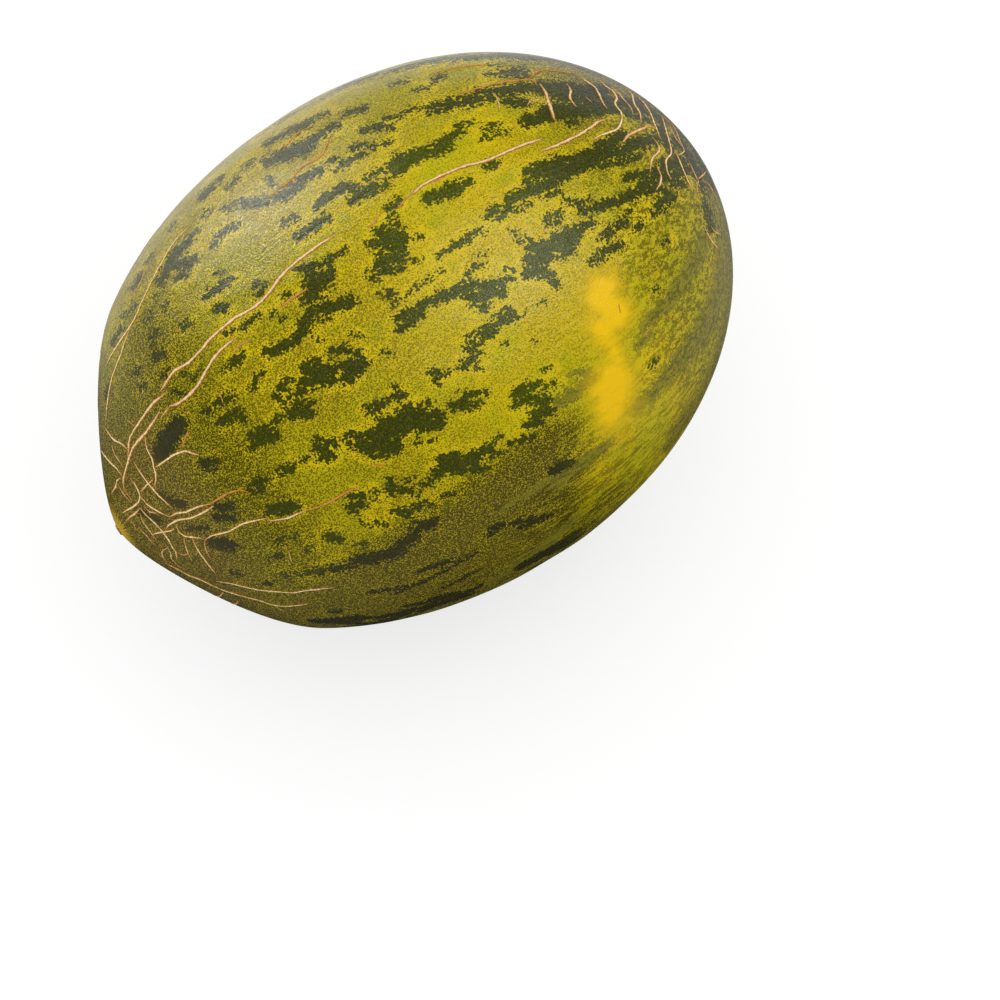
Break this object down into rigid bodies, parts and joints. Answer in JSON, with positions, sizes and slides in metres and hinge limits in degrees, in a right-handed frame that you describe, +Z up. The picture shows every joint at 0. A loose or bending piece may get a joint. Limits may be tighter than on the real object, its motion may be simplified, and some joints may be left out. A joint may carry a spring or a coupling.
{
  "type": "melon",
  "caption": "Whole oval winter melon with mottled green and yellow rind, a raised cork net over both ends, a pointed tip and a stem scar, lying on its side.",
  "frame": {"origin": "on the surface that the fruit lies on, under the middle of its overall box", "axes": "+X along the fruit's length, from the pointed end to the blunt stem end, +Z up. The fruit's own axis is tilted 6 degrees, pointed end down"},
  "size_m": [0.2342, 0.1734, 0.1757],
  "materials": {
    "rind": "soft natural gloss, yellow rind mottled with dark green, tan cork net"
  },
  "bodies": {
    "root": {"melon": "rind"}
  },
  "joints": []
}
